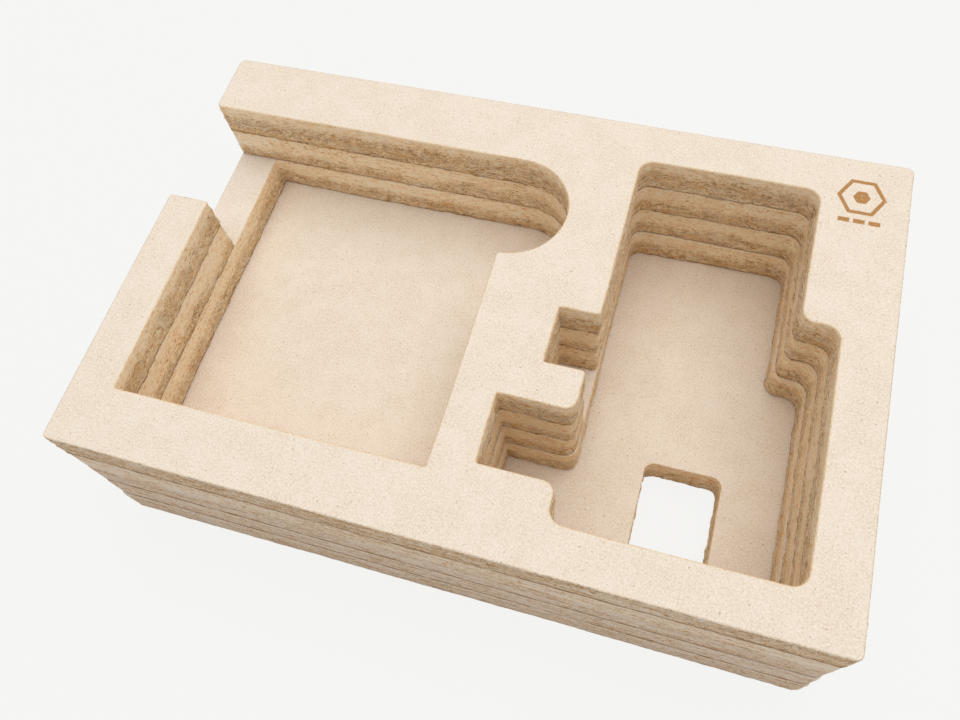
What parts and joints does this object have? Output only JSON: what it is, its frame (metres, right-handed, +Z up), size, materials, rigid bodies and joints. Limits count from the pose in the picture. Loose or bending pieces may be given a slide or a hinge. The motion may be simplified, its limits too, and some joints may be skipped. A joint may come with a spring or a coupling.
{
  "type": "foam insert",
  "caption": "Shipping insert of cellulose fibre foam sheets glued face to face, with two stepped pockets, finger notches and a window in its base.",
  "frame": {"origin": "middle of the underside", "axes": "+X along the long side, from the left pocket to the right pocket; +Y to the back; +Z up, out of the pockets"},
  "size_m": [0.176, 0.115, 0.05],
  "materials": {
    "cellulose_foam": "matte"
  },
  "bodies": {
    "root": {"base_sheet": "cellulose_foam", "second_sheet": "cellulose_foam", "third_sheet": "cellulose_foam", "fourth_sheet": "cellulose_foam", "top_sheet": "cellulose_foam"}
  },
  "joints": []
}
